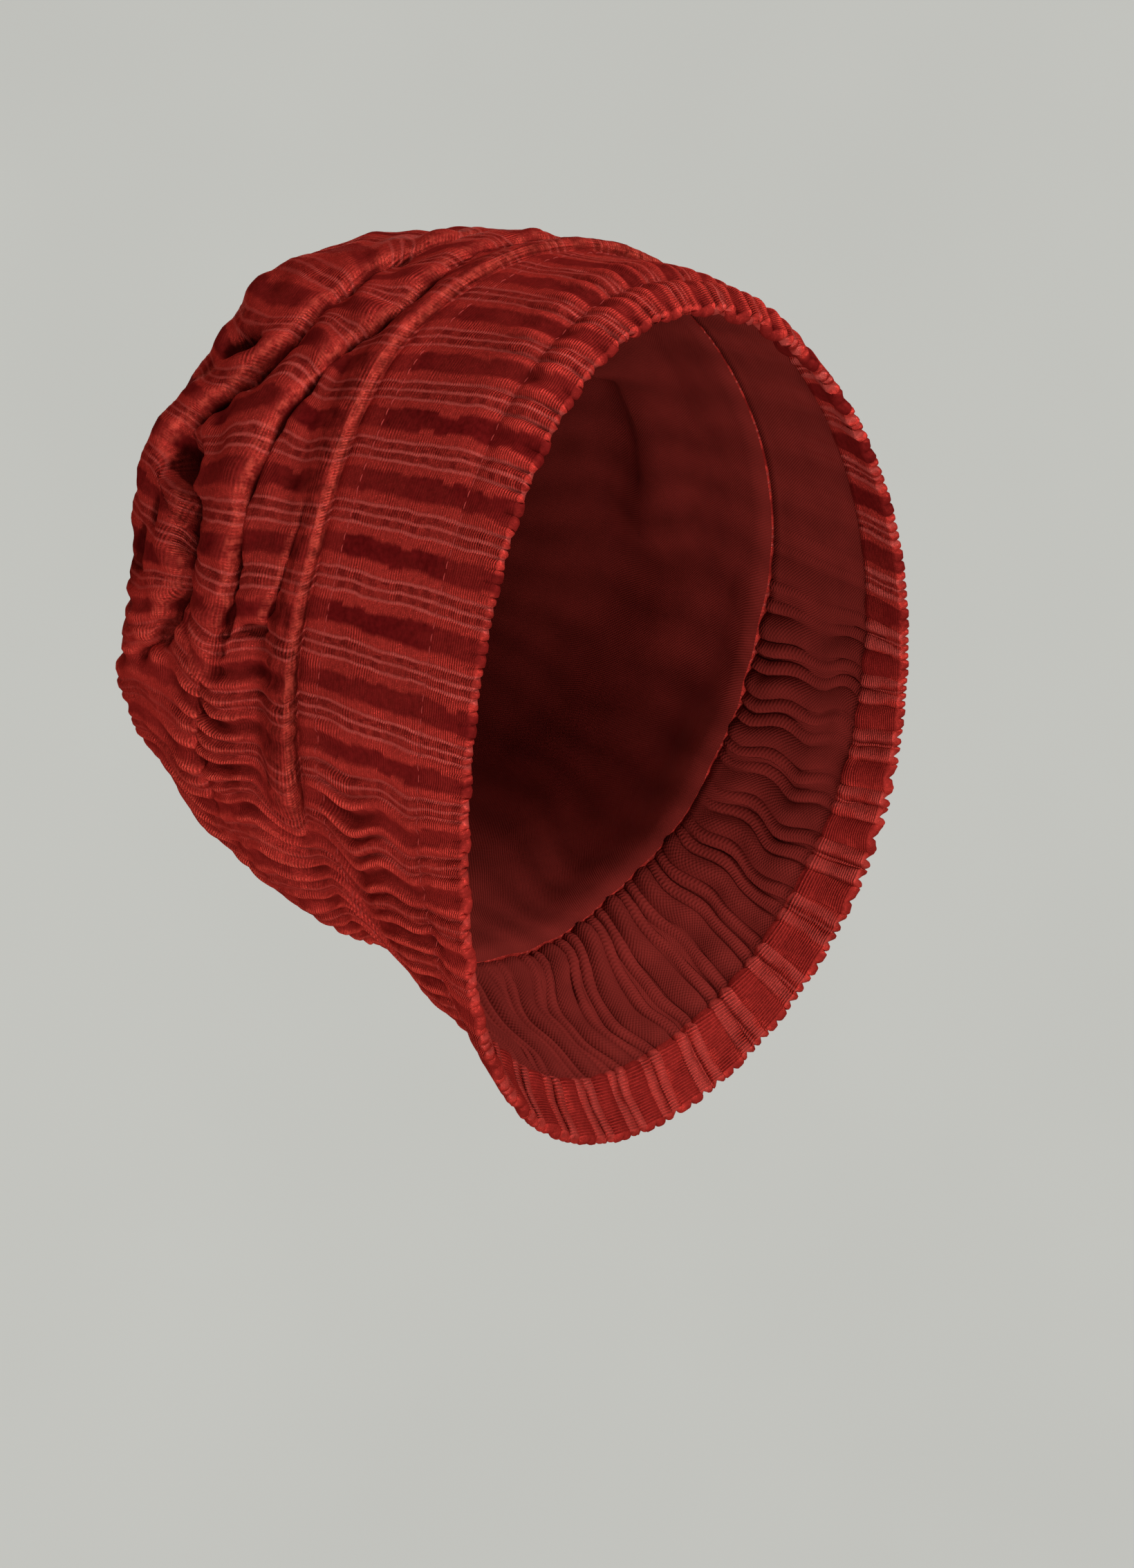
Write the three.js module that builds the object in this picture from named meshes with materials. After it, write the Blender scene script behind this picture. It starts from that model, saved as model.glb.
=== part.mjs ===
// A slouchy velvet beanie as worn: a front band whose rim is turned under in a hem, and a loose crown
// whose cloth has slid into rolls behind the seam ridge and closes in a gathered end at the back.
// Frame: millimetres, +Z up, -Y the wearer's front, X = 0 the middle of the head.
// The origin is the middle of the rim opening.

import * as THREE from 'three';

// Rim and wall sizes
const RIM_TILT = 60.5;
const RIM_SADDLE = -12;
const SADDLE_REACH = 110;
const HEM_WALL = 3;
const BAND_WALL = 1.7;
const CROWN_WALL = 1.6;
const RIM_EDGE_STEPS = 4;

// Distances along the cloth from the rim: the raw edge of the turned hem inside, the seam between
// band and crown, and the gathered end
const HEM = 13;
const SEAM = 46;
const SEAM_GAP = 0.3;
const END = 176;

// Facets round the head
const AROUND = 64;

// Rows of facets along the cloth, from rim to seam and from seam to gathered end
const BAND_ROWS = [0, 4, 8.5, HEM - 0.3, HEM + 0.3, 20, 27, 34, 40, 43.5, SEAM];
const CROWN_ROWS = [
  SEAM + SEAM_GAP, 47.8, 49.5, 51.2, 53.2, 56, 59, 62, 64.5, 66.5, 68.5, 71, 74.5, 78, 81.5, 84.5,
  87, 89, 91, 93, 95, 98, 102, 107, 113, 119, 126, 134, 143, 152, 160, 167, 172,
];

// Cross-sections of the smooth outside: distance along the cloth, distance along the rim's axis,
// level of the widest line, half width, and the heights of the top and of the nape line
const SECTIONS = [
  { name: 'rim', at: 0, along: 0, level: 4, half: 77, top: 112, nape: -109 },
  { name: 'band', at: 22, along: 21, level: 9, half: 80, top: 116, nape: -93 },
  { name: 'ridge', at: 48, along: 49, level: 14, half: 83.5, top: 117, nape: -81 },
  { name: 'second roll', at: 78, along: 81, level: 18, half: 89, top: 115, nape: -75 },
  { name: 'third roll', at: 104, along: 110, level: 19, half: 86, top: 109, nape: -68 },
  { name: 'back edge', at: 126, along: 129, level: 19, half: 67, top: 91, nape: -50 },
  { name: 'back', at: 146, along: 138, level: 18, half: 40, top: 62, nape: -22 },
  { name: 'gathered end', at: END, along: 136, level: 17, half: 0, top: 17, nape: 17 },
];

// Fold lines round the cap: distance along the cloth, how far each stands out on the sides, over
// the top and at the nape (minus is a crease), and how far it leans over toward the rim
const FOLDS = [
  { name: 'rim', at: 0, side: 0, top: 0, nape: 1, lean: 0 },
  { name: 'hem stitches', at: 13, side: 0, top: 0, nape: -1.2, lean: 0 },
  { name: 'middle of the band', at: 34, side: 0, top: 0, nape: 0.8, lean: 0 },
  { name: 'before the groove', at: 41, side: -0.2, top: -0.2, nape: 0.4, lean: 0 },
  { name: 'stitch groove', at: 45.6, side: -1.2, top: -0.8, nape: -0.8, lean: 0 },
  { name: 'ridge', at: 49.8, side: 2.6, top: 1.8, nape: 0, lean: 1.6 },
  { name: 'behind the ridge', at: 54, side: -0.8, top: 0.2, nape: -1.4, lean: 0.4 },
  { name: 'valley', at: 60.5, side: -4.4, top: 1.2, nape: -0.4, lean: 0 },
  { name: 'foot of the second roll', at: 64.5, side: -3.2, top: -0.8, nape: 0.6, lean: 0.4 },
  { name: 'edge of the second roll', at: 68.5, side: 1, top: 0.2, nape: 1.2, lean: 3.4 },
  { name: 'second roll', at: 75, side: 1.6, top: 0.6, nape: 1, lean: 2.6 },
  { name: 'slope to the crease', at: 82, side: -3, top: -0.4, nape: -2, lean: 1 },
  { name: 'deep crease', at: 87, side: -10, top: -2, nape: -1.6, lean: 0 },
  { name: 'under the third roll', at: 91, side: -7.5, top: -1.4, nape: -0.4, lean: 1.4 },
  { name: 'edge of the third roll', at: 95.5, side: 0.4, top: 0.8, nape: 1, lean: 5.2 },
  { name: 'third roll', at: 103, side: 1.6, top: 1.8, nape: 1.4, lean: 3.8 },
  { name: 'behind the third roll', at: 116, side: 0.4, top: 0.8, nape: 0, lean: 1 },
  { name: 'smooth back', at: 130, side: 0, top: 0, nape: 0, lean: 0 },
];

// Angles from the forehead between which the folds change from top to side and from side to nape,
// how strongly they lean in each place, and how their lines wander
const TOP_TO_SIDE = [15, 70];
const SIDE_TO_NAPE = [82, 128];
const LEAN_SHARE = { side: 1, top: 0.35, nape: 0.1 };
const WANDER = { reach: 3, waves: 5, turn: 75, from: 54, full: 64, fade: 100, end: 124 };

// Dents and lumps of the rolls: angle from the forehead (minus is the wearer's right), distance
// along the cloth, how far it stands out, and its reach along the cloth and round the cap
const DENTS = [
  { name: 'right upper pocket', angle: -39, at: 96, lift: -4, along: 5, round: 8 },
  { name: 'right pocket', angle: -59, at: 91, lift: -5, along: 6, round: 11 },
  { name: 'right lower pocket', angle: -84, at: 89, lift: -3, along: 6, round: 10 },
  { name: 'right upper lump', angle: -34, at: 108, lift: 2, along: 14, round: 12 },
  { name: 'right middle lump', angle: -62, at: 112, lift: 2, along: 14, round: 12 },
  { name: 'right hollow', angle: -82, at: 112, lift: -2.2, along: 14, round: 16 },
  { name: 'right droop', angle: -108, at: 112, lift: 3, along: 20, round: 24 },
  { name: 'left pocket', angle: 52, at: 91, lift: -4, along: 6, round: 12 },
  { name: 'left lump', angle: 70, at: 110, lift: 2, along: 14, round: 18 },
  { name: 'left droop', angle: 112, at: 108, lift: 2.6, along: 20, round: 30 },
];

// Soft pleats of the gathered end
const PLEATS = { count: 12, lift: 1.6, from: 122, full: 150 };

// Cloth colours
const BAND_LOOK = { color: 0x7c211c, roughness: 0.85, metalness: 0 };
const CROWN_LOOK = { color: 0x781f1a, roughness: 0.88, metalness: 0 };

const { degToRad, radToDeg, smoothstep } = THREE.MathUtils;
const AXIS = new THREE.Vector3(0, Math.sin(degToRad(RIM_TILT)), Math.cos(degToRad(RIM_TILT)));
const RISE = new THREE.Vector3(0, -Math.cos(degToRad(RIM_TILT)), Math.sin(degToRad(RIM_TILT)));

// A smooth curve through one column of a table, with slopes that never overshoot a row
function curve(table, column) {
  const last = table.length - 1;
  const steps = table.slice(1).map((row, i) => (row[column] - table[i][column]) / (row.at - table[i].at));
  const slopes = table.map((row, i) => {
    const before = steps[Math.max(i - 1, 0)];
    const after = steps[Math.min(i, last - 1)];
    return before * after > 0 ? (2 * before * after) / (before + after) : 0;
  });
  return (at) => {
    const next = table.findIndex((row) => row.at > at);
    const k = next < 0 ? last - 1 : Math.max(next - 1, 0);
    const span = table[k + 1].at - table[k].at;
    const t = Math.min(Math.max((at - table[k].at) / span, 0), 1);
    const rise = t * t * (3 - 2 * t);
    const bend = span * t * (1 - t) * ((1 - t) * slopes[k] - t * slopes[k + 1]);
    return table[k][column] * (1 - rise) + table[k + 1][column] * rise + bend;
  };
}

const curves = (table, columns) => Object.fromEntries(columns.map((name) => [name, curve(table, name)]));
const section = curves(SECTIONS, ['along', 'level', 'half', 'top', 'nape']);
const fold = curves(FOLDS, ['side', 'top', 'nape', 'lean']);

// The smooth outside of the cap at an angle round the head and a distance along the cloth
function hull(angle, at) {
  const level = section.level(at);
  const cos = Math.cos(angle);
  const reach = cos >= 0 ? section.top(at) - level : level - section.nape(at);
  const saddle = RIM_SADDLE * Math.sin(angle) ** 2 * Math.max(1 - at / SADDLE_REACH, 0);
  const point = new THREE.Vector3(section.half(at) * Math.sin(angle), 0, 0);
  point.addScaledVector(AXIS, section.along(at) + saddle);
  return point.addScaledVector(RISE, level + reach * cos);
}

// Directions along the cloth and out of a surface at a point
function directions(surface, angle, at) {
  const turn = 0.004;
  const step = 0.4;
  const round = surface(angle + turn, at).sub(surface(angle - turn, at));
  const along = surface(angle, Math.min(at + step, END)).sub(surface(angle, Math.max(at - step, 0)));
  const out = new THREE.Vector3().crossVectors(round, along).normalize();
  return { along: along.normalize(), out };
}

// Smallest angle between two directions round the head
function turnBetween(a, b) {
  return Math.atan2(Math.sin(a - b), Math.cos(a - b));
}

// A value given on the sides, over the top and at the nape, blended by the angle
function roundTheHead({ side, top, nape }, angle) {
  const away = radToDeg(Math.abs(turnBetween(angle, 0)));
  const toTop = 1 - smoothstep(away, ...TOP_TO_SIDE);
  const toNape = smoothstep(away, ...SIDE_TO_NAPE);
  return side * (1 - toTop - toNape) + top * toTop + nape * toNape;
}

function dentLift(angle, at) {
  return DENTS.reduce((sum, dent) => {
    const round = (turnBetween(angle, degToRad(dent.angle)) * section.half(at)) / dent.round;
    const along = (at - dent.at) / dent.along;
    return sum + dent.lift * Math.exp(-round * round - along * along);
  }, 0);
}

function pleatLift(angle, at) {
  const grown = smoothstep(at, PLEATS.from, PLEATS.full) * (1 - smoothstep(at, PLEATS.full, END));
  return PLEATS.lift * grown * Math.cos(PLEATS.count * angle);
}

// The outside of the cloth: the hull with its rolls, creases, dents and pleats
function outside(angle, at) {
  const grown = smoothstep(at, WANDER.from, WANDER.full) * (1 - smoothstep(at, WANDER.fade, WANDER.end));
  const there = at + WANDER.reach * grown * Math.sin(WANDER.waves * angle + degToRad(WANDER.turn));
  const { along, out } = directions(hull, angle, there);
  const lift = roundTheHead({ side: fold.side(at), top: fold.top(at), nape: fold.nape(at) }, angle);
  const lean = roundTheHead(LEAN_SHARE, angle) * fold.lean(at);
  const point = hull(angle, there);
  point.addScaledVector(out, lift + dentLift(angle, at) + pleatLift(angle, at));
  return point.addScaledVector(along, -lean);
}

// A point a depth into the cloth below the outside
function within(angle, at, depth) {
  return outside(angle, at).addScaledVector(directions(outside, angle, at).out, -depth);
}

// One ring of points round the head
function ring(pointAt) {
  return Array.from({ length: AROUND }, (_, i) => pointAt((2 * Math.PI * i) / AROUND));
}

// A closed solid from rings that follow each other, joined last to first, or closed at each end by
// a tip
function solid(rings, tips = []) {
  const points = rings.flat();
  const faces = [];
  const joins = tips.length ? rings.length - 1 : rings.length;
  for (let r = 0; r < joins; r += 1) {
    const a = r * AROUND;
    const b = ((r + 1) % rings.length) * AROUND;
    for (let i = 0; i < AROUND; i += 1) {
      const j = (i + 1) % AROUND;
      faces.push(a + i, b + i, a + j, a + j, b + i, b + j);
    }
  }
  tips.forEach((tip, end) => {
    const first = end * (rings.length - 1) * AROUND;
    const top = points.push(tip) - 1;
    for (let i = 0; i < AROUND; i += 1) {
      const j = (i + 1) % AROUND;
      faces.push(top, first + (end ? j : i), first + (end ? i : j));
    }
  });
  const geometry = new THREE.BufferGeometry().setFromPoints(points);
  geometry.setIndex(faces);
  geometry.computeVertexNormals();
  return geometry;
}

// The front band: over its outside from seam to rim, round the turned edge and back inside, where
// the hem is two layers thick
function bandGeometry() {
  const outer = [...BAND_ROWS].reverse().map((at) => ring((angle) => outside(angle, at)));
  const edge = Array.from({ length: RIM_EDGE_STEPS - 1 }, (_, k) => {
    const turn = (Math.PI * (k + 1)) / RIM_EDGE_STEPS;
    const depth = (HEM_WALL / 2) * (1 - Math.cos(turn));
    const reach = (HEM_WALL / 2) * Math.sin(turn);
    return ring((angle) => within(angle, 0, depth)
      .addScaledVector(directions(outside, angle, 0).along, -reach));
  });
  const wall = (at) => (at < HEM ? HEM_WALL : BAND_WALL);
  const inner = BAND_ROWS.map((at) => ring((angle) => within(angle, at, wall(at))));
  return solid([...outer, ...edge, ...inner]);
}

// The crown: over its outside from gathered end to seam and back along its inside
function crownGeometry() {
  const outer = [...CROWN_ROWS].reverse().map((at) => ring((angle) => outside(angle, at)));
  const inner = CROWN_ROWS.map((at) => ring((angle) => within(angle, at, CROWN_WALL)));
  const tip = hull(0, END);
  return solid([...outer, ...inner], [tip, tip.clone().addScaledVector(AXIS, -CROWN_WALL)]);
}

function piece(name, geometry, look) {
  const mesh = new THREE.Mesh(geometry, new THREE.MeshStandardMaterial(look));
  mesh.name = name;
  return mesh;
}

const beanie = new THREE.Group();
beanie.name = 'slouchy_beanie';
beanie.add(piece('front_band', bandGeometry(), BAND_LOOK));
beanie.add(piece('slouch_crown', crownGeometry(), CROWN_LOOK));

export default beanie;
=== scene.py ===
"""A slouchy beanie of striped stretch velvet, as worn, with its hem, ridge, rolls, stitches and nap."""

import math

import bpy
import numpy as np
from bpy.props import FloatProperty, FloatVectorProperty, IntProperty, PointerProperty
from mathutils import Matrix, Vector


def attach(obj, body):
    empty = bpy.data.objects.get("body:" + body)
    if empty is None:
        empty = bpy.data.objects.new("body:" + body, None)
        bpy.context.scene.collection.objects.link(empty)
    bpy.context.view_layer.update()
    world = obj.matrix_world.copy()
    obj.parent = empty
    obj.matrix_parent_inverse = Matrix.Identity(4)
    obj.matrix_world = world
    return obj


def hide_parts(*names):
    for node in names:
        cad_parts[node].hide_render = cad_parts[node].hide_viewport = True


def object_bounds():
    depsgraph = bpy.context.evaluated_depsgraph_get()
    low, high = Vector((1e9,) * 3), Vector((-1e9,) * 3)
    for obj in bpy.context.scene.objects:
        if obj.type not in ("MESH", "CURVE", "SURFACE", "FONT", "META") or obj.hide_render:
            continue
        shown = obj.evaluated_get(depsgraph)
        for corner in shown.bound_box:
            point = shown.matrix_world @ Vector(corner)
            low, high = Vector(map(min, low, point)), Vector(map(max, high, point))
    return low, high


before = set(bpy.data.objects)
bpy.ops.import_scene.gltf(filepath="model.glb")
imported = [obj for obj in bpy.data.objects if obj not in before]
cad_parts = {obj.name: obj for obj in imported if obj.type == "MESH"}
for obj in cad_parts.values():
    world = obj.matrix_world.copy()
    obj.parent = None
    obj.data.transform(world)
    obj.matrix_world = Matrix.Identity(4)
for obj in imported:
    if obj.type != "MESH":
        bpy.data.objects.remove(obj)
CAD_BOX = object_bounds()

bl_info = {
    "name": "Slouchy velvet beanie",
    "version": (1, 0, 0),
    "blender": (4, 5, 0),
    "location": "View3D > Sidebar > Beanie",
    "description": "Makes the striped velvet of a slouchy beanie round its packed solids",
    "category": "Add Mesh",
}

# The tables below are in millimetres and degrees, in the part's own frame; meshes are in metres
MM = 0.001
MM_PER_CM = 10

# Rim plane, wall sizes and places along the cloth, measured from the rim
RIM_TILT = math.radians(60.5)
RIM_SADDLE = -12
SADDLE_REACH = 110
AXIS = np.array([0, math.sin(RIM_TILT), math.cos(RIM_TILT)])
RISE = np.array([0, -math.cos(RIM_TILT), math.sin(RIM_TILT)])
HEM_WALL = 3.0
BAND_WALL = 1.7
CROWN_WALL = 1.6
HEM = 13.0
SEAM = 46.0
SEAM_GAP = 0.03
SEAM_EDGE = 0.08
END = 176.0


def table(columns, *rows):
    """Rows of a name and numbers as one array whose columns are read by name."""
    kinds = [("name", "U28")] + [(column, float) for column in columns.split()]
    return np.array(list(rows), dtype=kinds)


# Cross-sections of the smooth outside: place along the cloth, place along the rim's axis, level of
# the widest line, half width, and the heights of the top and of the nape line
SECTIONS = table(
    "at along level half top nape",
    ("rim", 0, 0, 4, 77, 112, -109),
    ("band", 22, 21, 9, 80, 116, -93),
    ("ridge", 48, 49, 14, 83.5, 117, -81),
    ("second roll", 78, 81, 18, 89, 115, -75),
    ("third roll", 104, 110, 19, 86, 109, -68),
    ("back edge", 126, 129, 19, 67, 91, -50),
    ("back", 146, 138, 18, 40, 62, -22),
    ("gathered end", END, 136, 17, 0, 17, 17),
)

# The slow swell of the cloth between its fold lines: how far it stands out on the sides, over the top
# and at the nape, by the place along the cloth
SWELLS = table(
    "at side top nape",
    ("rim", 0, 0, 0, 2.4),
    ("hem", 7, 0, 2.2, 1.2),
    ("hem stitches", 13, 0, 0.6, -0.8),
    ("behind the hem", 19, 0, 1.8, -0.3),
    ("middle of the band", 28, 0, 0.8, 0.2),
    ("before the ridge", 46, -0.3, -1.4, -2.6),
    ("behind the seam", 53, -0.9, -1.4, -2),
    ("panel", 62, -1.5, -1.4, 2.2),
    ("second roll", 76, 0.6, -1.2, 1.4),
    ("slope to the crease", 84, -0.8, -2.2, 1),
    ("third roll", 100, 0, -0.6, 0.2),
    ("behind the third roll", 116, 0, 0, -0.4),
    ("smooth back", 130, 0, 0, 0),
)


def fold_line(*points):
    """A fold line: rows of an angle from the forehead in degrees (minus is the wearer's right), a place
    along the cloth and a strength."""
    return np.array(list(points), dtype=[("angle", float), ("at", float), ("strength", float)])


# The fold lines, from the nape over the right side and the top to the nape again, and the profiles
# across them: distance from the line, how far the cloth stands out and how far it leans to the rim
RIDGE_LINE = fold_line(
    (-180, 49.5, 0), (-117, 50.5, 0), (-109, 50.5, 0.5), (-104, 50, 1), (-97.5, 49.2, 1), (-85.5, 49, 1),
    (-73, 48.2, 1), (-67, 47.8, 1), (-56.5, 48.6, 1), (-47, 49.6, 1), (-35, 50.6, 1), (-23, 49, 0.9),
    (-12, 47.8, 0.75), (0, 47.4, 0.6), (14, 48, 0.75), (35, 50.2, 1), (52, 49.2, 1), (70, 48, 1),
    (90, 49.2, 1), (106, 50.2, 0.9), (118, 50.2, 0), (180, 49.5, 0))
PANEL_LINE = fold_line(
    (-180, 57, 0), (-83, 60, 0), (-79, 58.4, 0.8), (-77, 57.4, 1), (-74, 56.6, 1), (-69, 55.4, 1),
    (-64.5, 54.6, 0.8), (-58, 54, 0), (60, 55, 0), (68, 56, 0.7), (76, 57.5, 0.8), (84, 59, 0),
    (180, 57, 0))
SECOND_LINE = fold_line(
    (-180, 68, 0), (-96, 69, 0), (-88, 70, 0.3), (-84.5, 69.6, 0.5), (-81, 68.6, 0.85), (-75.5, 68.2, 1),
    (-68, 68.8, 1), (-63.5, 70, 1), (-58.5, 69.4, 1), (-54, 70, 1), (-47, 68.4, 1), (-43, 66.8, 1),
    (-38.5, 66.2, 1), (-34.5, 64, 1), (-28.5, 60.8, 1), (-23, 59.6, 0.9), (-17, 60.6, 0.7), (-6, 62, 0.6),
    (6, 62.5, 0.6), (20, 61, 0.8), (34, 64, 1), (50, 69, 1), (64, 70, 1), (78, 69, 0.9), (92, 70, 0.4),
    (102, 70, 0), (180, 68, 0))
THIRD_LINE = fold_line(
    (-180, 90, 0), (-97, 99, 0), (-94, 98, 0.35), (-90, 91.5, 0.6), (-86, 88.6, 0.8), (-84, 88.6, 0.9),
    (-79.5, 84.8, 1), (-75, 85, 0.95), (-70.5, 86.5, 0.9), (-67, 87.5, 0.9), (-64.5, 92, 0.8),
    (-62, 97.5, 0.7), (-59.5, 100.5, 0.8), (-57, 99.5, 0.95), (-54, 97, 1), (-50.5, 93.8, 1),
    (-45.5, 88, 1), (-41, 85.6, 1), (-34.5, 83.4, 0.95), (-28, 82.4, 0.8), (-18.5, 81.2, 0.55),
    (-6, 79, 0.6), (8, 80, 0.6), (22, 83, 0.8), (38, 86, 1), (52, 90, 1), (64, 87, 1), (78, 85, 0.9),
    (90, 88, 0.5), (100, 92, 0), (180, 90, 0))
LOW_LINE = fold_line(
    (-180, 80, 0), (-122, 80, 0), (-113, 80, 0.8), (-107, 80.4, 1), (-100, 77.6, 1), (-94, 75.4, 1),
    (-90, 78.6, 1), (-87.5, 80, 1), (-83, 81.4, 0.8), (-79, 83, 0), (78, 83, 0), (84, 80, 0.8), (96, 77, 1),
    (108, 80, 0.8), (122, 80, 0), (180, 80, 0))
RIDGE = table(
    "at lift lean",
    ("band", -2.6, 0, 0),
    ("groove", -1.2, -0.5, 0),
    ("foot", -0.5, -0.8, 0.1),
    ("front", 0.5, 0.6, 1.6),
    ("edge", 1.4, 2.7, 2.7),
    ("crest", 2.5, 3.9, 2.8),
    ("shoulder", 3.7, 3.7, 2),
    ("back", 6, 2.2, 0.9),
    ("behind", 9, 0, 0.2),
    ("valley", 11.5, -1.2, 0),
    ("panel", 16, 0, 0),
)
PANEL_LIP = table(
    "at lift lean",
    ("before", -3, 0, 0),
    ("edge of the slit", -0.8, -0.5, 0),
    ("slit", 0, -1.8, 0),
    ("front", 1.2, -0.2, 1.4),
    ("lip", 2.4, 1.2, 1.8),
    ("top", 4, 1.7, 1.2),
    ("behind", 9, 0, 0),
)
SECOND_LIP = table(
    "at lift lean",
    ("panel", -6, 0, 0),
    ("dip", -2.2, -0.5, 0),
    ("edge of the slit", -1, -1.1, 0),
    ("slit", 0.1, -4.2, -0.2),
    ("under the lip", 1, -3.2, 1.3),
    ("front", 1.9, -1.2, 2.6),
    ("lip", 3, 0.7, 3.2),
    ("top", 5, 1.8, 2.6),
    ("roll", 9, 1.6, 1),
    ("behind", 16, 0, 0),
)
THIRD_LIP = table(
    "at lift lean",
    ("second roll", -12, 0, 0),
    ("slope", -5.5, -1.6, 0),
    ("edge of the slit", -2.2, -3.6, -0.3),
    ("slit", -0.3, -9.5, -0.6),
    ("under the lip", 1.3, -6.5, 0.8),
    ("front", 2.4, -2.4, 2.3),
    ("lip", 3.7, 0.7, 3.3),
    ("top", 6, 1.9, 3),
    ("roll", 10, 1.5, 1.6),
    ("behind", 18, 0.2, 0.4),
    ("back", 30, 0, 0),
)
LOW_CREASE = table(
    "at lift lean",
    ("before", -6, 0, 0),
    ("front edge", -2, -1.2, 0),
    ("crease", 0, -3.6, 0.2),
    ("back edge", 2, -0.8, 0.8),
    ("behind", 6, 0.6, 0.6),
    ("end", 12, 0, 0),
)
LINES = (
    (RIDGE_LINE, RIDGE), (PANEL_LINE, PANEL_LIP), (SECOND_LINE, SECOND_LIP), (THIRD_LINE, THIRD_LIP),
    (LOW_LINE, LOW_CREASE))

# Where the velvet gets a painted highlight, the shine of the nap that opens on a bent lip: a fold line,
# and how far behind it this starts and ends, and how softly it does
LIPS = ((RIDGE_LINE, 0.8, 1.8), (PANEL_LINE, 1.7, 2.4), (SECOND_LINE, 2.4, 3.4), (THIRD_LINE, 2.9, 4))
LIP_EDGES = (0.6, 0.8)

# Dents and lumps: angle from the forehead (minus is the wearer's right), place along the cloth, how
# far it stands out, its reach along the cloth and round the cap, and how steep its sides are
DENTS = table(
    "angle at lift along round steep",
    ("right upper pocket", -40, 98, -12, 5.5, 3.8, 2),
    ("right pocket", -61.2, 95, -15, 6, 5, 2),
    ("right lower pocket", -84, 83.5, -4.5, 3, 4.5, 1),
    ("end of the panel", -82, 63, -2.4, 4.5, 2, 1),
    ("swell of the panel", -77.5, 62, 1.5, 4, 4, 1),
    ("low end of the ridge", -99.5, 55, 1.7, 3.2, 12, 1),
    ("right upper crumple", -70, 99, -2.6, 3, 4.5, 1),
    ("right crumple", -76.5, 104, -2.8, 3, 5, 1),
    ("right lower crumple", -74, 92, 1.6, 2.6, 4, 1),
    ("right upper lump", -22.5, 106, 2.6, 12, 10, 1),
    ("right shoulder", -45, 105, -2.2, 12, 11, 1),
    ("right middle lump", -62, 112, 1.2, 14, 12, 1),
    ("right hollow", -82, 112, -3, 14, 16, 1),
    ("right droop", -108, 112, 0.8, 20, 24, 1),
    ("right upper back", -27, 111, 1.8, 7, 8, 1),
    ("right lower back", -103, 112, 2, 7, 8, 1),
    ("right low hollow", -121.5, 103, -1.8, 6, 8, 1),
    ("right nape hollow", -138, 90, -2.4, 6, 9, 1),
    ("right nape notch", -150, 64, -3, 7, 11, 1),
    ("top hollow", 6, 94, -2, 8, 11, 1),
    ("left pocket", 52, 91, -7, 4.5, 4, 2),
    ("left lump", 70, 110, 2, 14, 18, 1),
    ("left droop", 112, 108, 2.6, 20, 30, 1),
)

# Soft pleats of the gathered end
PLEAT_COUNT = 12
PLEAT_LIFT = 1.6

# How the stripes lie: the ring where they are spaced and the steps taken round it, how much closer they
# stand at the nape, the place of a bar's middle in its repeat, how far they slant per millimetre along
# the cloth, how far they sway on slack cloth, are drawn up at the seam, which runs a little before the
# ridge's line, and slant more at the low rim, and how far the cloth has slipped round at the rolls
SPACING_RING = 48
SPACING_STEPS = 4001
NAPE_CROWDING = 0.25
BAR_PLACE = -0.32
SLANT = 0.2
SLANT_TURN = math.radians(20)
SLANT_ENDS = 70
SWAY = 2.2
SWAY_LOW = 0.8
BROW_SWAY = 0.3
SEAM_BEFORE = 1
SEAM_PEAK = 2.4
SEAM_REACH = 4
LOW_SLANT = 0.33
LOW_SLANT_TO = 27
SLIPS = ((RIDGE_LINE, -2.5), (SECOND_LINE, -1.5), (THIRD_LINE, 5))

# Shares of a repeat from its middle line to the side lines, and from a bar's middle to the nicks beside
# it, the width of a line's groove and of a nick, and the groove's depth
LINE_OFFSET = 5 / 32
NICK_OFFSET = 6 / 32
NICK_WIDTH = 0.022
GROOVE_DEPTH = 0.1

# Seeded waves: the seed, the whole numbers of waves round the cap and their lengths along it
WAVE_COUNT = 14
WAVES = {
    "sway": (12, (2, 9), (34, 70)),
    "low sway": (14, (1, 4), (15, 23)),
    "uneven ribs": (21, (4, 13), (30, 80)),
    "loose wrinkles": (3, (5, 16), (22, 60)),
    "fine wrinkles": (8, (12, 40), (8, 24)),
}

# The ribs of slack cloth across one repeat, from a bar to the next: the bar lies in the deepest trough
RIBS = table(
    "at lift",
    ("bar", 0, -1.3),
    ("edge of the bar", 0.09, -0.8),
    ("upper rib", 0.2, 0.8),
    ("before the upper line", 0.28, 0.5),
    ("upper line", 0.344, -0.8),
    ("past the upper line", 0.41, 0.5),
    ("middle line", 0.5, 0.8),
    ("before the lower line", 0.59, 0.5),
    ("lower line", 0.656, -0.8),
    ("past the lower line", 0.72, 0.5),
    ("lower rib", 0.8, 0.85),
    ("edge of the next bar", 0.91, -0.8),
    ("next bar", 1, -1.3),
)

# How slack the cloth is, as a share: what each place has, and what the hem and the back take away
SLACK = {"band": 0.06, "hem": 0.14, "brow": 0.7, "crown": 0.2, "puckers": 0.85,
         "hem loss": 0.5, "back loss": 0.4}

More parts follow.
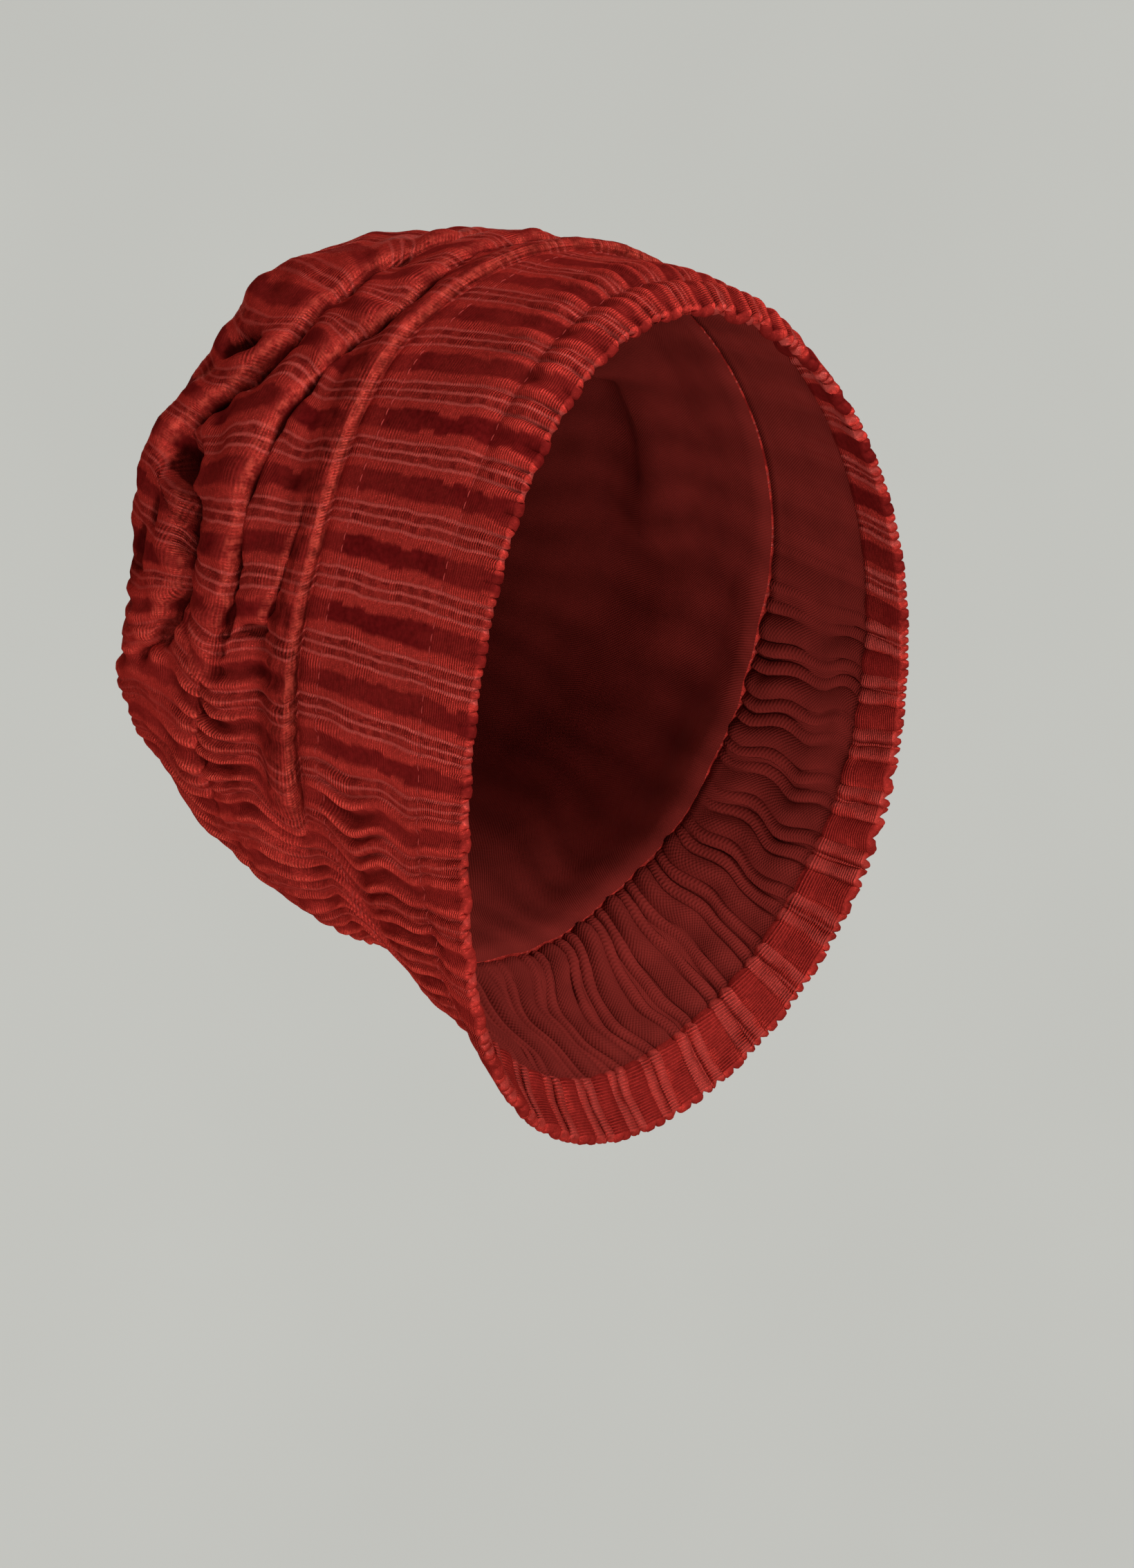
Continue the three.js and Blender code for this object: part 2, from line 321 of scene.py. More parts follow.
# How even the ribs are and what the seam takes from them, how deep the hem's stitches draw the cloth in,
# evenly and by its ribs, how far the bars swell on the lips of the rolls and the puckers stand out low on
# the second roll, and the shares of the wrinkles on the crown and at the nape, loose and fine
RIB_MEAN, RIB_SPREAD = 0.8, 0.35
SEWN_LOSS, SEWN_REACH = 0.2, 2
HEM_DIP, BROW_DIP, HEM_DIP_REACH = 0.4, 0.5, 1.2
DIP_EVEN, DIP_RIBS = 0.7, 0.3
LIP_SWELL = 0.8
PUCKER_LIFT, PUCKER_PHASE = 0.9, 1
CROWN_WRINKLES, NAPE_WRINKLES = 0.8, 0.6
LOOSE_SHARE, FINE_SHARE = 0.6, 0.4

# Height that counts as full relief, where crests get a full painted highlight and hollows full painted
# shade, and depth where a dent starts to count as a pocket, whose painted shade is deeper
RELIEF_SCALE = 2.0
POCKET_FROM = 1.5

# Row on which the ridge lies all round, and how far before it its stitches run
RIDGE_ROW = 47.2
RIDGE_STITCHES = 6.4

# Where things come and go, by smoothsteps: where each starts and is full and, where there are four
# numbers, where it wanes and ends
RAMPS = {
    # By degrees from the forehead
    "top": (70, 15), "nape": (82, 128), "brow": (64, 22), "crowded stripes": (90, 150),
    "slanted stripes": (175, 120), "steeper stripes": (84, 112), "drawn stripes": (96, 108),
    "swaying stripes": (75, 120), "rippled stripes": (84, 110), "slack band": (74, 108),
    "slack crown": (68, 98), "wrinkled nape": (70, 120), "puckers": (69, 77, 90, 98),
    # By millimetres along the cloth
    "rim": (5, 0), "hem": (15, 9), "brow hem": (32, 18), "crown": (50, 62), "back": (82, 102),
    "pleats": (122, 150, 150, END), "sway behind the rim": (8, 24), "sway of the crown": (56, 80),
    "rippled rows": (5, 16, 58, 76), "wrinkled band": (3, 16), "wrinkled crown": (50, 66),
    "moved rows": (30, 46, 52, 68), "crown finish": (54, 62), "ridge finish": (46.8, 47.8, 54, 57),
    "hem finish": (13, 12.2), "beside the ridge": (40.2, 41.4, 52, 60),
    "sewn ridge": (39, 42, 48.5, 50.5), "sewn hem": (11, 12.2, 13.8, 15), "faint lines": (82, 92),
    # By millimetres behind a fold line
    "slip": (-1.5, 2.5), "lip": (1.2, 3.2, 4.5, 9), "pucker": (2.5, 4, 7, 10),
    # By repeats from the forehead
    "low finish": (8.4, 10.8), "brow finish": (4.6, 1.6), "end of the ridge": (11, 10),
    # By shares of a repeat
    "bar": (0.22, 0.13), "upper edge": (0.235, 0.155), "lower edge": (-0.23, -0.14),
    "line": (0.040, 0.006), "off the line": (0.012, 0.045),
    "inside the lines": (LINE_OFFSET + 0.03, LINE_OFFSET - 0.02),
    "between the lines": (LINE_OFFSET + 0.01, LINE_OFFSET - 0.03), "dash": (0, 0.25, 0.5, 0.78),
    # By relief, for painted shade in hollows and a painted highlight on crests, and by noise
    "hollow": (-0.08, -0.85), "crest": (0.08, 0.8), "wear": (0.30, 0.62), "hatch": (0.45, 0.7),
    "glint": (0.56, 0.70), "sparkle": (0.42, 0.68), "crushed": (0.48, 0.66), "picked": (0.15, 0.5),
}

# Facets: columns in a repeat of the stripes, rows along the cloth and where they change
BAND_COLUMNS = 32
CROWN_COLUMNS = 16
BAND_ROWS = 46
RIM_ROWS = 6
BAND_INSIDE_ROWS = 24
HEM_ROWS = 8
CROWN_ROLL_ROWS = 112
CROWN_BACK_ROWS = 18
CROWN_INSIDE_STEP = 6
HEM_STEP = 0.2
ROLLS_END = 128
BACK_START = 129.5
END_GAP = 1.5

# A stitch: its sides and rings, the share of the pitch it spans, how far it bows out and its line sinks
# in, how thin its ends are and how blunt, and how far away the rings lie that give the cloth's normals
STITCH_SIDES = 6
STITCH_RINGS = 7
STITCH_SPAN = (0.1, 0.86)
STITCH_BOW = 0.16
HEM_SINK, RIDGE_SINK = 0.04, 0.06
STITCH_TIP, STITCH_BLUNT = 0.02, 0.4
STITCH_SLICE = 0.4

# Neighbours along the cloth and round it over which the relief and the crown's inside are worked out
BAND_RELIEF = (4, 8)
CROWN_RELIEF = (5, 4)
CROWN_UNDER = (6, 4)

# Noises in the materials: scale and detail
NOISES = {
    "fuzz": (700, 2), "patch": (45, 3), "crush": (900, 2), "wear": (48, 3), "glint": (2300, 1),
    "sparkle": (520, 2), "bar sway": (90, 2), "fine bar sway": (420, 2), "rib sway": (60, 2),
    "hatch": (150, 2), "streak": (1, 3), "mottle": (330, 3), "reverse": (120, 3), "fibre": (1800, 2),
    "paper": (3, 2),
}

# The velvet's finish: lengths of the steps along a bar's edges, of the dashes, the satin's ribs and the
# reverse's loops, fine ticks in a repeat, and the gloss of the dull sides
UPPER_STEP, LOWER_STEP = 2.9, 3.7
DASH_PITCH = 3.8
RIB_PITCH = 0.66
LOOP_PITCH = 0.8
TICKS = 20
DULL = {"Specular IOR Level": 0.08, "Specular Tint": (1.0, 0.3, 0.2, 1.0)}

# The photograph's view: the camera's turn, roll and distance, the point it looks at and its lens
VIEW_TURN = math.radians(-39)
VIEW_ROLL = math.radians(17.5)
VIEW_DISTANCE = 0.850
VIEW_SIDE = -0.0259
VIEW_LEVEL = -0.003
IMAGE_HEIGHT_PX = 2268
PX_PER_METRE = 5750
SENSOR_MM = 36


def length(name, description, default):
    """A size that a user can change."""
    return FloatProperty(name=name, description=description, default=default, unit="LENGTH")


def light_power(name, description, default):
    """A light's power that a user can change."""
    return FloatProperty(name=name, description=description, default=default, unit="POWER")


def tint(name, description, *default):
    """A colour that a user can change."""
    return FloatVectorProperty(
        name=name, description=description, subtype="COLOR", size=3, min=0, max=1, default=default)


class BeanieSizes(bpy.types.PropertyGroup):
    """Sizes of the cloth's stripes, relief and stitches."""

    repeats: IntProperty(
        name="Stripe repeats", description="Repeats of the stripes round the cap", default=38, min=8)
    pile_lift: length("Pile lift", "How far the plush bars stand out where the cloth is taut", 0.00022)
    ripple: length("Ripple", "Depth of the ribs between the bars where the cloth is slack", 0.0012)
    rim_scallop: length("Rim scallop", "Depth of the scallops along the rim", 0.0008)
    wrinkle: length("Wrinkles", "Height of the loose wrinkles of the crown", 0.0009)
    stitch_pitch: length("Stitch pitch", "Distance from stitch to stitch", 0.0029)
    thread: length("Thread", "Thickness of the sewing thread", 0.0003)


class BeanieColours(bpy.types.PropertyGroup):
    """Colours of the cloth and the thread."""

    ground: tint("Ground", "Cloth between the bars", 0.253, 0.0187, 0.0138)
    bar: tint("Bars", "Plush bars", 0.075, 0.0033, 0.0034)
    line: tint("Lines", "Thin light lines", 0.40, 0.062, 0.050)
    # The lips' colour is a painted highlight: the shine of the nap that opens on the bent lips of the folds
    lip: tint("Lips", "Opened nap on the bent lips of the folds", 0.45, 0.055, 0.035)
    reverse: tint("Reverse", "Inside of the cloth", 0.13, 0.0125, 0.0098)
    thread: tint("Thread", "Sewing thread", 0.24, 0.026, 0.022)


class StageSettings(bpy.types.PropertyGroup):
    """Backdrop and lights."""

    backdrop: tint("Backdrop", "Colour of the floor and the wall", 0.503, 0.507, 0.482)
    floor_drop: length("Floor drop", "Distance from the cap down to the floor", 1.1)
    key_power: light_power("Key light", "Power of the large light", 27.0)
    top_power: light_power("Top light", "Power of the light from above the front", 6.0)
    fill_power: light_power("Fill light", "Power of the light from below the front", 21.0)
    back_power: light_power("Back light", "Power of the light behind the cap", 9.0)
    sky: FloatProperty(name="Sky", description="Strength of the light from all round", default=0.37)


def smooth(value, low, high):
    """Smoothstep: 0 at low and before it, 1 at high and past it, and 3t² − 2t³ between them."""
    share = np.clip((value - low) / (high - low), 0, 1)
    return share * share * (3 - 2 * share)


def ramp(name, value):
    """The named smoothsteps of an array, or of a value in a material: one up over the first two numbers
    and, where there are four, times one down over the last two."""
    def step(low, high):
        return value.step(low, high) if isinstance(value, Shade) else smooth(value, low, high)

    start, full, *wane = RAMPS[name]
    return step(start, full) * step(wane[1], wane[0]) if wane else step(start, full)


def curve(rows, column, where, by="at"):
    """A cubic through one column of a table whose slopes are the harmonic means of the steps beside each
    row, and zero where the steps change sign, so that it never overshoots a row. It is level beyond the
    ends of the table."""
    places, values = rows[by], rows[column]
    steps = np.diff(values) / np.diff(places)
    before = np.concatenate((steps[:1], steps))
    after = np.concatenate((steps, steps[-1:]))
    agree = before * after > 0
    slopes = np.where(agree, 2 * before * after / np.where(agree, before + after, 1), 0)
    k = np.clip(np.searchsorted(places, where, side="right") - 1, 0, len(places) - 2)
    span = places[k + 1] - places[k]
    t = np.clip((where - places[k]) / span, 0, 1)
    rise = t * t * (3 - 2 * t)
    bend = span * t * (1 - t) * ((1 - t) * slopes[k] - t * slopes[k + 1])
    return values[k] * (1 - rise) + values[k + 1] * rise + bend


def unit(vectors):
    """Vectors divided by their lengths."""
    return vectors / np.linalg.norm(vectors, axis=-1, keepdims=True)


def hull(angle, at):
    """The smooth outside: half-ellipses over the top and under the nape, in planes square to the rim's
    axis, carried along the axis by the section table, with a saddle that fades away from the rim."""
    level = curve(SECTIONS, "level", at)
    cos, sin = np.cos(angle), np.sin(angle)
    reach = np.where(cos >= 0, curve(SECTIONS, "top", at) - level, level - curve(SECTIONS, "nape", at))
    saddle = RIM_SADDLE * sin**2 * np.maximum(1 - at / SADDLE_REACH, 0)
    along = (curve(SECTIONS, "along", at) + saddle)[..., None] * AXIS
    height = (level + reach * cos)[..., None] * RISE
    return along + height + (curve(SECTIONS, "half", at) * sin)[..., None] * np.array([1, 0, 0])


def directions(surface, angle, at):
    """Unit vectors along the cloth and out of it: central differences of a surface along each
    parameter, and their cross product."""
    turn, step = 0.004, 0.4
    round_ = surface(angle + turn, at) - surface(angle - turn, at)
    along = surface(angle, np.minimum(at + step, END)) - surface(angle, np.maximum(at - step, 0))
    return unit(along), unit(np.cross(round_, along))


def turn_between(a, b):
    """The smallest turn from angle b to angle a."""
    return np.arctan2(np.sin(a - b), np.cos(a - b))


def degrees_away(angle):
    """Degrees from the forehead, either way."""
    return np.degrees(np.abs(turn_between(angle, 0)))


def round_the_head(side, top, nape, angle):
    """Values for the sides, the top and the nape, blended by smoothsteps of the angle."""
    away = degrees_away(angle)
    to_top, to_nape = ramp("top", away), ramp("nape", away)
    return side * (1 - to_top - to_nape) + top * to_top + nape * to_nape


def dent_lift(angle, at):
    """The sum of dents and lumps, each a Gaussian, or a steeper bell, of its distance round and along the
    cloth."""
    half = curve(SECTIONS, "half", at)
    lift = np.zeros_like(at)
    for dent in DENTS:
        round_ = turn_between(angle, math.radians(dent["angle"])) * half / dent["round"]
        along = (at - dent["at"]) / dent["along"]
        lift += dent["lift"] * np.exp(-((round_**2 + along**2) ** dent["steep"]))
    return lift


def pleat_lift(angle, at):
    """Cosine pleats round the gathered end, grown and faded along the cloth."""
    return PLEAT_LIFT * ramp("pleats", at) * np.cos(PLEAT_COUNT * angle)


def line_place(rows, column, angle):
    """One column of a fold line at an angle."""
    return curve(rows, column, np.degrees(turn_between(angle, 0)), by="angle")


def behind(rows, angle, at):
    """How far a place along the cloth lies behind a fold line."""
    return at - line_place(rows, "at", angle)


def folds(angle, at):
    """How far the folded cloth stands out of the hull and leans to the rim: the slow swells, the dents
    and the pleats, and for every fold line its profile at the distance from the line, times its
    strength."""
    lift = round_the_head(*(curve(SWELLS, place, at) for place in ("side", "top", "nape")), angle)
    lift = lift + dent_lift(angle, at) + pleat_lift(angle, at)
    lean = np.zeros_like(lift)
    for rows, profile in LINES:
        strength, distance = line_place(rows, "strength", angle), behind(rows, angle, at)
        lift += strength * curve(profile, "lift", distance)
        lean += strength * curve(profile, "lean", distance)
    return lift, lean


def moved_hull(angle, at, lift, lean):
    """The hull moved out along its normals by a lift and along the cloth to the rim by a lean."""
    along, out = directions(hull, angle, at)
    return hull(angle, at) + lift[..., None] * out - lean[..., None] * along


def stripe_angle(repeat, at, repeats):
    """The angle of a stripe: equal steps of girth on the spacing ring, closer at the nape, then shifted
    along the girth, whose length per turn runs from half the width to half the height by cos² and sin².
    The shifts are the slant, with opposite signs on the two sides, the sways, the seam and the slips."""
    dense = np.linspace(-math.pi, math.pi, SPACING_STEPS)
    ring = hull(dense, np.full_like(dense, SPACING_RING))
    steps = np.linalg.norm(np.diff(ring, axis=0), axis=1)
    middle = np.degrees(np.abs(dense[1:] + dense[:-1]) / 2)
    crowded = steps * (1 + NAPE_CROWDING * ramp("crowded stripes", middle))
    weighted = np.concatenate(([0], np.cumsum(crowded)))
    counted = (weighted - weighted[len(dense) // 2]) * repeats / weighted[-1]
    plain = np.interp(repeat, counted, dense)
    across, tall = np.ptp(ring[:, 0]) / 2, np.ptp(ring @ RISE) / 2
    per_turn = across * np.cos(plain) ** 2 + tall * np.sin(plain) ** 2
    away = degrees_away(plain)
    side = np.tanh(plain / SLANT_TURN) * ramp("slanted stripes", away)
    shift = SLANT * (np.minimum(at, SLANT_ENDS) - SPACING_RING) * side
    loose = ramp("swaying stripes", away) * ramp("sway behind the rim", at) + ramp("sway of the crown", at)
    loose = loose + BROW_SWAY * ramp("brow", away)
    shift = shift + SWAY * np.minimum(loose, 1) * waves("sway", plain, at)
    low = ramp("rippled stripes", away) * ramp("rippled rows", at)
    shift = shift + SWAY_LOW * low * waves("low sway", plain, at)
    seam = behind(RIDGE_LINE, plain, at) + SEAM_BEFORE
    shift = shift - SEAM_PEAK * side * ramp("drawn stripes", away) * np.exp(-((seam / SEAM_REACH) ** 2))
    shift = shift - LOW_SLANT * side * ramp("steeper stripes", away) * np.maximum(LOW_SLANT_TO - at, 0)
    for rows, slip in SLIPS:
        shift = shift + slip * line_place(rows, "strength", plain) * ramp("slip", behind(rows, plain, at))
    return plain + shift / per_turn


def waves(name, angle, at):
    """A seeded sum of sines with whole numbers of waves round the cap and given lengths along it, of
    about unit height."""
    seed, around, along = WAVES[name]
    rng = np.random.default_rng(seed)
    total = np.zeros(np.broadcast(angle, at).shape)
    for _ in range(WAVE_COUNT):
        number = rng.integers(*around)
        reach = rng.uniform(*along)
        turns = rng.choice((-1, 1)) * at / reach
        total += np.sin(number * angle + 2 * math.pi * turns + rng.uniform(0, 6.28))
    return total / math.sqrt(WAVE_COUNT / 2)


def slackness(angle, at):
    """How slack the cloth is, from 0 where it is stretched over the sides to 1 at the nape and in the
    gathers, with a little at the hem and more of it over the brow, blended by smoothsteps."""
    away = degrees_away(angle)
    crown, hem = ramp("crown", at), ramp("hem", at)
    band = SLACK["band"] + (1 - SLACK["band"]) * ramp("slack band", away)
    puckers = SLACK["crown"] + SLACK["puckers"] * ramp("slack crown", away)
    loose = band * (1 - crown) * (1 - SLACK["hem loss"] * hem)
    loose = loose + crown * puckers * (1 - SLACK["back loss"] * ramp("back", at))
    return loose + SLACK["hem"] * hem + SLACK["brow"] * ramp("brow", away) * ramp("brow hem", at)


def swell(sizes, repeat, angle, at):
    """How far the whole cloth moves in and out: ribs with the bars in their troughs where it is slack,
    lower beside the seam and where the girth narrows, a dip at the hem's stitches, loose wrinkles, and
    bars that swell on the lips of the rolls, with puckers two to a repeat low on the second roll."""
    place = repeat - BAR_PLACE
    ribs = curve(RIBS, "lift", place - np.floor(place))
    uneven = RIB_MEAN + RIB_SPREAD * waves("uneven ribs", angle, at)
    seam = behind(RIDGE_LINE, angle, at) + SEAM_BEFORE
    sewn = 1 - SEWN_LOSS * np.exp(-((seam / SEWN_REACH) ** 2))
    gathered = np.minimum(curve(SECTIONS, "half", at) / curve(SECTIONS, "half", SPACING_RING), 1)
    height = sizes.ripple / MM * slackness(angle, at) * ribs * uneven * sewn * gathered
    away = degrees_away(angle)
    drawn = HEM_DIP + BROW_DIP * ramp("brow", away)
    height -= drawn * np.exp(-(((at - HEM) / HEM_DIP_REACH) ** 2)) * (DIP_EVEN + DIP_RIBS * ribs)
    for rows in (SECOND_LINE, THIRD_LINE):
        lip = line_place(rows, "strength", angle) * ramp("lip", behind(rows, angle, at))
        height += LIP_SWELL * lip * np.cos(2 * math.pi * place)
    pinched = ramp("puckers", away) * ramp("pucker", behind(SECOND_LINE, angle, at))
    height += PUCKER_LIFT * pinched * np.cos(4 * math.pi * place + PUCKER_PHASE)
    crown, low = ramp("wrinkled crown", at), ramp("wrinkled nape", away)
    amount = CROWN_WRINKLES * crown + NAPE_WRINKLES * low * (1 - crown) * ramp("wrinkled band", at)
    loose, fine = waves("loose wrinkles", angle, at), waves("fine wrinkles", angle, at)
    return height + sizes.wrinkle / MM * amount * (LOOSE_SHARE * loose + FINE_SHARE * fine)


def nap(sizes, repeat, angle, at):
    """How far the pile stands out on the cloth: plush bars, with grooves at the thin lines, and with nicks
    at the lines and at the bars' middles and edges that scallop the rim."""
    place = repeat - BAR_PLACE
    from_bar = np.abs(place - np.round(place))
    from_line = np.minimum(np.abs(from_bar - 0.5), np.abs(from_bar - 0.5 + LINE_OFFSET))
    from_nick = np.minimum(from_line, np.minimum(from_bar, np.abs(from_bar - NICK_OFFSET)))
    groove, nick = (np.exp(-((apart / NICK_WIDTH) ** 2)) for apart in (from_line, from_nick))
    rim = sizes.rim_scallop / MM * ramp("rim", at)
    return sizes.pile_lift / MM * ramp("bar", from_bar) - GROOVE_DEPTH * groove - rim * nick


def outward(grid):
    """Unit normals of a grid of rows along the cloth and columns round it, from its own differences."""
    along = np.gradient(grid, axis=0)
    round_ = np.roll(grid, -1, axis=1) - np.roll(grid, 1, axis=1)
    return unit(np.cross(round_, along))


def cloth_places(sizes, columns, rows):
    """Repeats, angles and places along the cloth at every row and column. Rows near the ridge are moved
    by the ridge's distance from its own row, faded by smoothsteps, so that the seam runs along its foot."""
    count = sizes.repeats * columns
    repeat = (np.arange(count) / columns - sizes.repeats / 2)[None, :] + np.zeros((len(rows), 1))
    row = np.asarray(rows, float)[:, None] + np.zeros((1, count))
    ridge = line_place(RIDGE_LINE, "at", stripe_angle(repeat, row, sizes.repeats))
    at = row + ramp("moved rows", row) * (ridge - RIDGE_ROW)
    return repeat, stripe_angle(repeat, at, sizes.repeats), at


def cloth_lift(sizes, repeat, angle, at):
    """How far the folded and swelling cloth stands out of the hull."""
    return folds(angle, at)[0] + swell(sizes, repeat, angle, at)


def cloth_grid(sizes, columns, rows, wall=None):
    """Outside of the cloth at every column and row: the folded form moved out along its own normals by
    the swell and the nap, or, where a wall is given, its inside, a wall deeper and without the nap."""
    repeat, angle, at = cloth_places(sizes, columns, rows)
    plain = moved_hull(angle, at, *folds(angle, at))
    height = swell(sizes, repeat, angle, at)
    if wall is None:
        height = height + nap(sizes, repeat, angle, at)
        return plain + height[..., None] * outward(plain)
    moved = plain + height[..., None] * outward(plain)
    return moved - np.broadcast_to(wall, len(rows))[:, None, None] * outward(moved)


def windowed(values, reach, axis, work):
    """The least or the mean of each value's neighbours up to a number of steps away along an axis, which
    is closed where it runs round the cap and ends level where it runs along the cloth."""
    edges = "wrap" if axis else "edge"
    pads = [(reach, reach) if k == axis else (0, 0) for k in range(2)]
    windows = np.lib.stride_tricks.sliding_window_view(
        np.pad(values, pads, edges), 2 * reach + 1, axis=axis)
    return work(windows, axis=-1)


def relief_grid(sizes, columns, rows, reach):
    """How far the cloth stands above (up to 1) or below (down to -1) the mean of its neighbours both ways,
    with the depth of a pocket counted again, as a share of the relief's scale. The velvet paints a
    highlight on what stands above and shade on what lies below."""
    repeat, angle, at = cloth_places(sizes, columns, rows)
    lift = cloth_lift(sizes, repeat, angle, at)
    mean = windowed(windowed(lift, reach[0], 0, np.mean), reach[1], 1, np.mean)
    pocket = np.minimum(dent_lift(angle, at) + POCKET_FROM, 0)
    return np.clip((lift - mean + pocket) / RELIEF_SCALE, -1, 1)


def lip_grid(sizes, columns, rows):
    """How far each spot lies on the bent lip of a fold: smoothsteps of the distance from the fold line,
    times its strength, and the greatest of them. The velvet puts its painted highlight there."""
    _, angle, at = cloth_places(sizes, columns, rows)
    lip = np.zeros_like(at)
    for line, start, end in LIPS:
        distance = behind(line, angle, at)
        bent = smooth(distance, start - LIP_EDGES[0], start) * smooth(distance, end + LIP_EDGES[1], end)
        lip = np.maximum(lip, bent * line_place(line, "strength", angle))
    return lip


def under_grid(sizes, columns, rows, wall, reach):
    """Inside of folded cloth, which bridges its slits: the least lift of the neighbours both ways, then
    the mean over the same window, which never rises above the outside, and a wall less."""
    repeat, angle, at = cloth_places(sizes, columns, rows)
    lift = cloth_lift(sizes, repeat, angle, at)
    for work in (np.min, np.mean):
        for axis in (0, 1):
            lift = windowed(lift, reach[axis], axis, work)
    return moved_hull(angle, at, lift - wall, np.zeros_like(lift))


def ring_quads(rings, around, closed=False):
    """Corners of the quads between neighbouring rings of points, with the last ring joined to the first
    where they are closed."""
    ring = np.arange(rings if closed else rings - 1)[:, None]
    first, after = ring * around, (ring + 1) % rings * around
    column = np.arange(around)
    beside = (column + 1) % around
    return np.stack([first + column, after + column, after + beside, first + beside], axis=-1)


def new_object(name, data):
    """An object for a mesh, a lamp or a camera, linked to the scene."""
    made = bpy.data.objects.new(name, data)
    bpy.context.scene.collection.objects.link(made)
    return made


def new_piece(name, mesh):
    """An object for a mesh, at the origin, carried by the one body."""
    piece = new_object(name, mesh)
    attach(piece, "root")
    return piece


def new_mesh(name, points, faces, materials):
    """A smoothly shaded mesh of points in metres and lists of corners."""
    mesh = bpy.data.meshes.new(name)
    mesh.from_pydata(points.reshape(-1, 3).tolist(), [], faces)
    mesh.shade_smooth()
    for material in materials:
        mesh.materials.append(material)
    return mesh


def ring_mesh(name, grid, rows, columns, materials, inside, marks, tips=()):
    """A closed mesh from a grid of rings: quads between neighbouring rings, the last ring joined to the
    first, or a fan of triangles to a tip at each end. The UV map holds stripe repeats across and
    centimetres along the cloth, and the attributes the named marks of the first rings."""
    count, around = grid.shape[:2]
    quads = ring_quads(count, around, closed=not tips)
    first = np.arange(len(quads))
    after = (first + 1) % count
    column = np.arange(around)
    beside = (column + 1) % around
    points, faces = [grid.reshape(-1, 3)], quads.reshape(-1, 4).tolist()
    faces_inside = [np.repeat(inside[first] & inside[after], around)]
    across = np.stack([column, column, column + 1, column + 1], axis=-1)
    along = np.stack([rows[first], rows[after], rows[after], rows[first]], axis=-1)[:, None]
    uv = [np.stack(np.broadcast_arrays(across, along), axis=-1).reshape(-1, 2)]
    for end, tip in enumerate(tips):
        edge = end * (count - 1)
        index = np.full(around, count * around + end)
        pair = (beside, column) if end else (column, beside)
        points.append(tip[None, :])
        faces += np.stack([index, *(edge * around + side for side in pair)], axis=-1).tolist()
        faces_inside.append(np.full(around, inside[edge]))
        across = np.stack([column + 0.5, column + 1 - end, column + end], axis=-1)
        along = np.array([END, rows[edge], rows[edge]])
        uv.append(np.stack(np.broadcast_arrays(across, along), axis=-1).reshape(-1, 2))
    mesh = new_mesh(name, np.concatenate(points) * MM, faces, materials)
    mesh.polygons.foreach_set("material_index", np.concatenate(faces_inside).astype(np.int32))
    uv = (np.concatenate(uv) / (columns, MM_PER_CM)).astype(np.float32)
    mesh.uv_layers.new(name="cloth").uv.foreach_set("vector", uv.ravel())
    for mark, values in marks.items():
        spread = np.zeros(len(mesh.vertices), np.float32)
        spread[:values.size] = values.ravel()
        mesh.attributes.new(mark, "FLOAT", "POINT").data.foreach_set("value", spread)
    mesh.validate()
    return new_piece(name, mesh)


class Shade:
    """A value in a material. It wraps an output socket, and + - * / on it add Math nodes."""

    def __init__(self, tree, socket=None):
        self.tree = tree
        self.socket = socket

    def node(self, kind, settings=None, inputs=None, output=0):
        """Adds a node: its settings are set first, then its inputs are set or linked."""
        node = self.tree.nodes.new(kind)
        for key, value in (settings or {}).items():
            setattr(node, key, value)
        for key, value in (inputs or {}).items():
            if isinstance(value, Shade):
                self.tree.links.new(value.socket, node.inputs[key])
            else:
                node.inputs[key].default_value = value
        return Shade(self.tree, node.outputs[output]) if node.outputs else None

    def math(self, operation, *values):
        """One Math node on this value and others."""
        inputs = dict(enumerate((self, *values)))
        return self.node("ShaderNodeMath", {"operation": operation}, inputs)

    def __add__(self, other):
        return self.math("ADD", other)

    def __sub__(self, other):
        return self.math("SUBTRACT", other)

    def __mul__(self, other):
        return self.math("MULTIPLY", other)

    def __truediv__(self, other):
        return self.math("DIVIDE", other)

    def __rsub__(self, other):
        return self.node("ShaderNodeMath", {"operation": "SUBTRACT"}, {0: other, 1: self})

    __radd__ = __add__
    __rmul__ = __mul__

    def step(self, low, high):
        """A smoothstep of this value from low to high."""
        return self.node("ShaderNodeMapRange", {"interpolation_type": "SMOOTHSTEP"},
                         {"Value": self, "From Min": low, "From Max": high})

    def mix(self, first, second):
        """A colour between two colours, with this value as the share of the second."""
        return self.node("ShaderNodeMix", {"data_type": "RGBA"}, {0: self, 6: first, 7: second}, 2)

    def brighten(self, colour):
        """A colour multiplied by this value."""
        return self.node("ShaderNodeVectorMath", {"operation": "SCALE"}, {0: tuple(colour), "Scale": self})

    def less(self, share):
        """One, less a share of this value."""
        return 1 - self * share

    def noise(self, name):
        """The named noise at this place."""
        scale, detail = NOISES[name]
        return self.node("ShaderNodeTexNoise", {}, {"Vector": self, "Scale": scale, "Detail": detail})

    def swing(self, amount):
        """An amount times how far this value lies from a half."""
        return (self - 0.5) * amount

    def wave(self, pitch):
        """A sine of this value with the given pitch."""
        return (self * (2 * math.pi / pitch)).math("SINE")

    def bump(self, strength, distance):
        """A normal bumped by this height."""
        return self.node("ShaderNodeBump", {}, {"Strength": strength, "Distance": distance, "Height": self})


def rgba(colour):
    """A colour of three numbers with full opacity."""
    return (*colour, 1.0)


